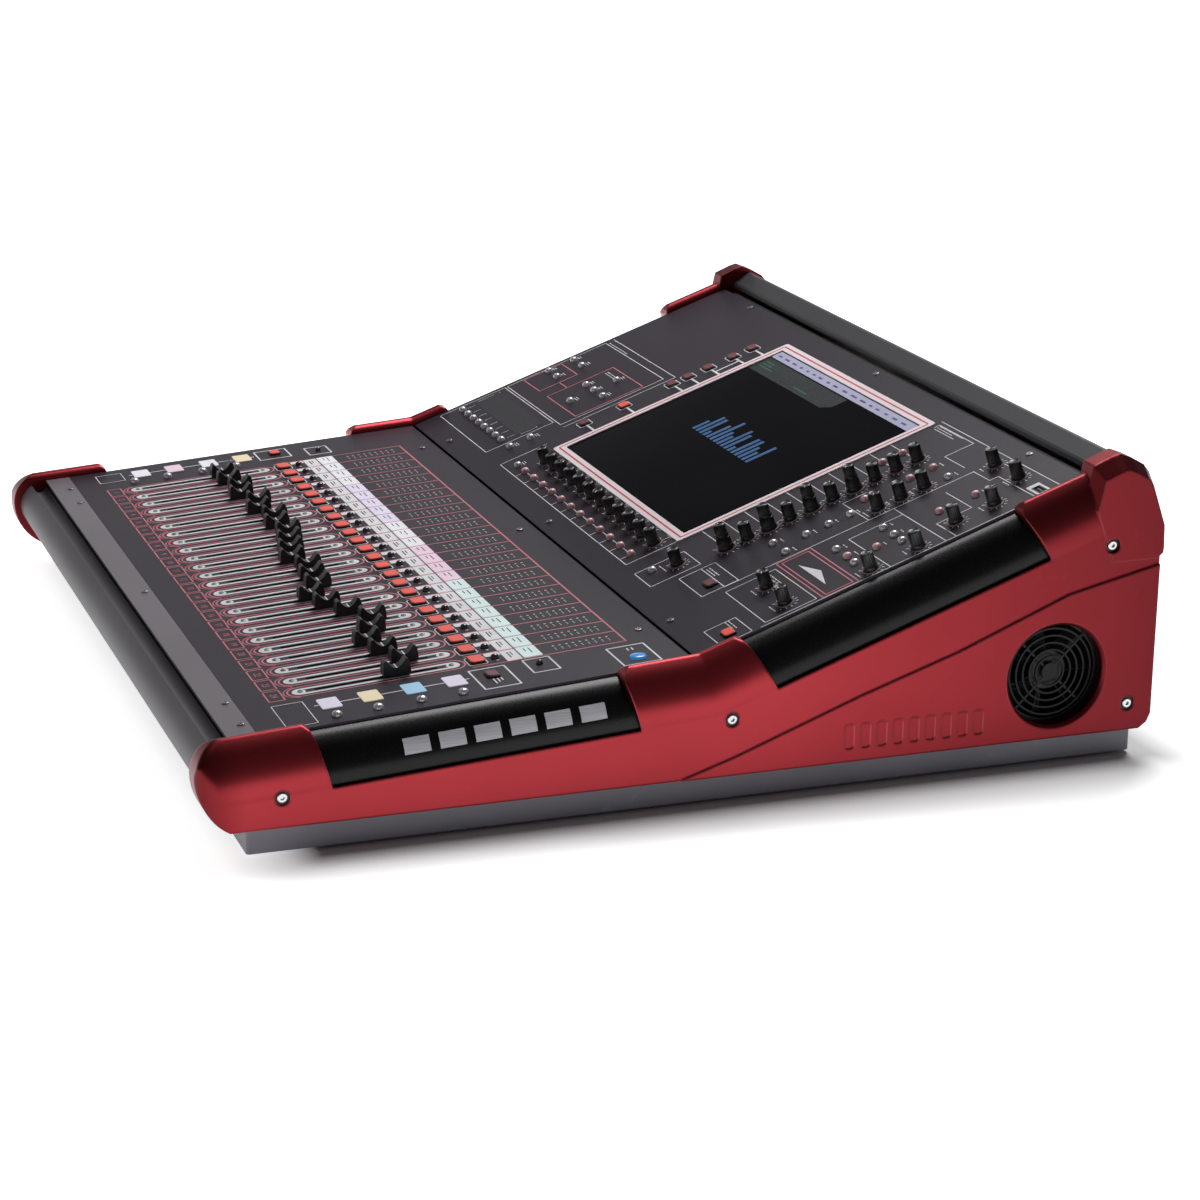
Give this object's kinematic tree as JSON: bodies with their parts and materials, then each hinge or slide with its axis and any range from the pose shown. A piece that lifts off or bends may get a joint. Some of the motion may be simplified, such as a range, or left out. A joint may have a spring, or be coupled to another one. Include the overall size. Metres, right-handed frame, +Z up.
{
  "type": "mixing console",
  "caption": "Desktop digital mixing console with a sloped fader deck, a raised screen deck with a built-in display, knobs and keys, and red side cheeks with cooling fans.",
  "frame": {"origin": "on the table under the middle of the console", "axes": "+X to the user's right, +Y to the rear, +Z up"},
  "size_m": [0.892, 0.849, 0.272],
  "materials": {
    "cheek_red": "satin red paint",
    "trim_black": "gloss black plastic",
    "screw_steel": "bright plated steel",
    "tray_grey": "matt dark grey paint",
    "rubber_black": "matt rubber",
    "chassis_steel": "zinc plated sheet",
    "rail_grey": "satin grey paint",
    "palm_grey": "satin grey paint",
    "bar_grey": "satin dark grey paint",
    "rear_black": "matt black paint",
    "deck_grey": "matt warm dark grey paint",
    "screw_dark": "black oxide",
    "screen_glass": "dark display glass",
    "bezel_print": "pale printed frame",
    "label_lit": "lit label window",
    "module_metal": "folded steel",
    "knob_dark": "matt dark plastic",
    "board_green": "solder mask",
    "psu_metal": "plated sheet",
    "fan_black": "glass-filled black plastic",
    "guard_steel": "plated wire",
    "socket_black": "black plastic",
    "cap_black": "matt black plastic",
    "key_red": "translucent red plastic, lit from below",
    "key_dark": "dark plastic",
    "dome_pink": "moulded plastic"
  },
  "bodies": {
    "console": {"right_cheek": "cheek_red", "left_cheek": "cheek_red", "right_trim": "trim_black", "left_trim": "trim_black", "cheek_screws": "screw_steel", "base_tray": "tray_grey", "feet": "rubber_black", "inner_chassis": "chassis_steel", "front_rail": "rail_grey", "palm_rest": "palm_grey", "rear_bar": "bar_grey", "rear_panel": "rear_black", "fader_panel": "deck_grey", "screen_panel": "deck_grey", "deck_screws": "screw_dark", "display_module": "screen_glass", "display_bezel": "bezel_print", "channel_displays": "label_lit", "fader_modules": "module_metal", "single_knobs": "knob_dark", "circuit_boards": "board_green", "power_supply": "psu_metal", "fan_housings": "fan_black", "fan_guards": "guard_steel", "signal_sockets": "socket_black", "mains_inlet": "socket_black"},
    "fader_cap_01": {"fader_cap_01": "cap_black"},
    "fader_cap_02": {"fader_cap_02": "cap_black"},
    "fader_cap_03": {"fader_cap_03": "cap_black"},
    "fader_cap_04": {"fader_cap_04": "cap_black"},
    "fader_cap_05": {"fader_cap_05": "cap_black"},
    "fader_cap_06": {"fader_cap_06": "cap_black"},
    "fader_cap_07": {"fader_cap_07": "cap_black"},
    "fader_cap_08": {"fader_cap_08": "cap_black"},
    "fader_cap_09": {"fader_cap_09": "cap_black"},
    "fader_cap_10": {"fader_cap_10": "cap_black"},
    "fader_cap_11": {"fader_cap_11": "cap_black"},
    "fader_cap_12": {"fader_cap_12": "cap_black"},
    "fader_cap_13": {"fader_cap_13": "cap_black"},
    "fader_cap_14": {"fader_cap_14": "cap_black"},
    "fader_cap_15": {"fader_cap_15": "cap_black"},
    "fader_cap_16": {"fader_cap_16": "cap_black"},
    "fader_cap_17": {"fader_cap_17": "cap_black"},
    "fader_cap_18": {"fader_cap_18": "cap_black"},
    "fader_cap_19": {"fader_cap_19": "cap_black"},
    "fader_cap_20": {"fader_cap_20": "cap_black"},
    "fader_cap_21": {"fader_cap_21": "cap_black"},
    "fader_cap_22": {"fader_cap_22": "cap_black"},
    "fader_cap_23": {"fader_cap_23": "cap_black"},
    "fader_cap_24": {"fader_cap_24": "cap_black"},
    "mute_key_bank": {"mute_keys": "key_red"},
    "select_key_bank": {"select_keys": "key_dark"},
    "screen_key_bank": {"screen_keys": "key_red"},
    "dome_button_bank": {"dome_buttons": "dome_pink"},
    "double_knob_1": {"double_knob_1": "knob_dark"},
    "double_knob_2": {"double_knob_2": "knob_dark"},
    "double_knob_3": {"double_knob_3": "knob_dark"},
    "double_knob_4": {"double_knob_4": "knob_dark"},
    "fan_rotor_pair": {"fan_rotors": "fan_black"},
    "power_rocker": {"power_switch": "socket_black"}
  },
  "joints": [
    {"name": "fader_01_slide", "type": "slide", "parent": "console", "child": "fader_cap_01", "axis": [0, 0.9973, 0.0734], "range_m": [-0.0732, 0.0268]},
    {"name": "fader_02_slide", "type": "slide", "parent": "console", "child": "fader_cap_02", "axis": [0, 0.9973, 0.0734], "range_m": [-0.0732, 0.0268]},
    {"name": "fader_03_slide", "type": "slide", "parent": "console", "child": "fader_cap_03", "axis": [0, 0.9973, 0.0734], "range_m": [-0.0782, 0.0218]},
    {"name": "fader_04_slide", "type": "slide", "parent": "console", "child": "fader_cap_04", "axis": [0, 0.9973, 0.0734], "range_m": [-0.0722, 0.0278]},
    {"name": "fader_05_slide", "type": "slide", "parent": "console", "child": "fader_cap_05", "axis": [0, 0.9973, 0.0734], "range_m": [-0.0832, 0.0168]},
    {"name": "fader_06_slide", "type": "slide", "parent": "console", "child": "fader_cap_06", "axis": [0, 0.9973, 0.0734], "range_m": [-0.0762, 0.0238]},
    {"name": "fader_07_slide", "type": "slide", "parent": "console", "child": "fader_cap_07", "axis": [0, 0.9973, 0.0734], "range_m": [-0.0852, 0.0148]},
    {"name": "fader_08_slide", "type": "slide", "parent": "console", "child": "fader_cap_08", "axis": [0, 0.9973, 0.0734], "range_m": [-0.0802, 0.0198]},
    {"name": "fader_09_slide", "type": "slide", "parent": "console", "child": "fader_cap_09", "axis": [0, 0.9973, 0.0734], "range_m": [-0.0842, 0.0158]},
    {"name": "fader_10_slide", "type": "slide", "parent": "console", "child": "fader_cap_10", "axis": [0, 0.9973, 0.0734], "range_m": [-0.0782, 0.0218]},
    {"name": "fader_11_slide", "type": "slide", "parent": "console", "child": "fader_cap_11", "axis": [0, 0.9973, 0.0734], "range_m": [-0.0722, 0.0278]},
    {"name": "fader_12_slide", "type": "slide", "parent": "console", "child": "fader_cap_12", "axis": [0, 0.9973, 0.0734], "range_m": [-0.0662, 0.0338]},
    {"name": "fader_13_slide", "type": "slide", "parent": "console", "child": "fader_cap_13", "axis": [0, 0.9973, 0.0734], "range_m": [-0.0742, 0.0258]},
    {"name": "fader_14_slide", "type": "slide", "parent": "console", "child": "fader_cap_14", "axis": [0, 0.9973, 0.0734], "range_m": [-0.0702, 0.0298]},
    {"name": "fader_15_slide", "type": "slide", "parent": "console", "child": "fader_cap_15", "axis": [0, 0.9973, 0.0734], "range_m": [-0.0682, 0.0318]},
    {"name": "fader_16_slide", "type": "slide", "parent": "console", "child": "fader_cap_16", "axis": [0, 0.9973, 0.0734], "range_m": [-0.0542, 0.0458]},
    {"name": "fader_17_slide", "type": "slide", "parent": "console", "child": "fader_cap_17", "axis": [0, 0.9973, 0.0734], "range_m": [-0.0612, 0.0388]},
    {"name": "fader_18_slide", "type": "slide", "parent": "console", "child": "fader_cap_18", "axis": [0, 0.9973, 0.0734], "range_m": [-0.0732, 0.0268]},
    {"name": "fader_19_slide", "type": "slide", "parent": "console", "child": "fader_cap_19", "axis": [0, 0.9973, 0.0734], "range_m": [-0.0872, 0.0128]},
    {"name": "fader_20_slide", "type": "slide", "parent": "console", "child": "fader_cap_20", "axis": [0, 0.9973, 0.0734], "range_m": [-0.0782, 0.0218]},
    {"name": "fader_21_slide", "type": "slide", "parent": "console", "child": "fader_cap_21", "axis": [0, 0.9973, 0.0734], "range_m": [-0.0662, 0.0338]},
    {"name": "fader_22_slide", "type": "slide", "parent": "console", "child": "fader_cap_22", "axis": [0, 0.9973, 0.0734], "range_m": [-0.0722, 0.0278]},
    {"name": "fader_23_slide", "type": "slide", "parent": "console", "child": "fader_cap_23", "axis": [0, 0.9973, 0.0734], "range_m": [-0.0822, 0.0178]},
    {"name": "fader_24_slide", "type": "slide", "parent": "console", "child": "fader_cap_24", "axis": [0, 0.9973, 0.0734], "range_m": [-0.0672, 0.0328]},
    {"name": "mute_keys_press", "type": "slide", "parent": "console", "child": "mute_key_bank", "axis": [0, -0.0734, 0.9973], "range_m": [-0.001, 0], "stiffness_N_per_m": 800, "springref_m": 0.004},
    {"name": "select_keys_press", "type": "slide", "parent": "console", "child": "select_key_bank", "axis": [0, -0.0734, 0.9973], "range_m": [-0.001, 0], "stiffness_N_per_m": 800, "springref_m": 0.004},
    {"name": "screen_keys_press", "type": "slide", "parent": "console", "child": "screen_key_bank", "axis": [0, -0.3382, 0.9411], "range_m": [-0.001, 0], "stiffness_N_per_m": 800, "springref_m": 0.004},
    {"name": "dome_buttons_press", "type": "slide", "parent": "console", "child": "dome_button_bank", "axis": [0, -0.3382, 0.9411], "range_m": [-0.001, 0], "stiffness_N_per_m": 800, "springref_m": 0.004},
    {"name": "double_knob_1_turn", "type": "hinge", "parent": "console", "child": "double_knob_1", "pos_m": [0.233, 0.10164, 0.16102], "axis": [0, -0.3382, 0.9411], "continuous": true},
    {"name": "double_knob_2_turn", "type": "hinge", "parent": "console", "child": "double_knob_2", "pos_m": [0.233, 0.14267, 0.17577], "axis": [0, -0.3382, 0.9411], "continuous": true},
    {"name": "double_knob_3_turn", "type": "hinge", "parent": "console", "child": "double_knob_3", "pos_m": [0.233, 0.1837, 0.19051], "axis": [0, -0.3382, 0.9411], "continuous": true},
    {"name": "double_knob_4_turn", "type": "hinge", "parent": "console", "child": "double_knob_4", "pos_m": [0.233, 0.22473, 0.20526], "axis": [0, -0.3382, 0.9411], "continuous": true},
    {"name": "fan_spin", "type": "hinge", "parent": "console", "child": "fan_rotor_pair", "pos_m": [0, 0.3241, 0.083], "axis": [1, 0, 0], "continuous": true},
    {"name": "power_rocker_tilt", "type": "hinge", "parent": "console", "child": "power_rocker", "pos_m": [0.3, 0.4063, 0.1], "axis": [1, 0, 0], "range_deg": [0, 16]}
  ]
}
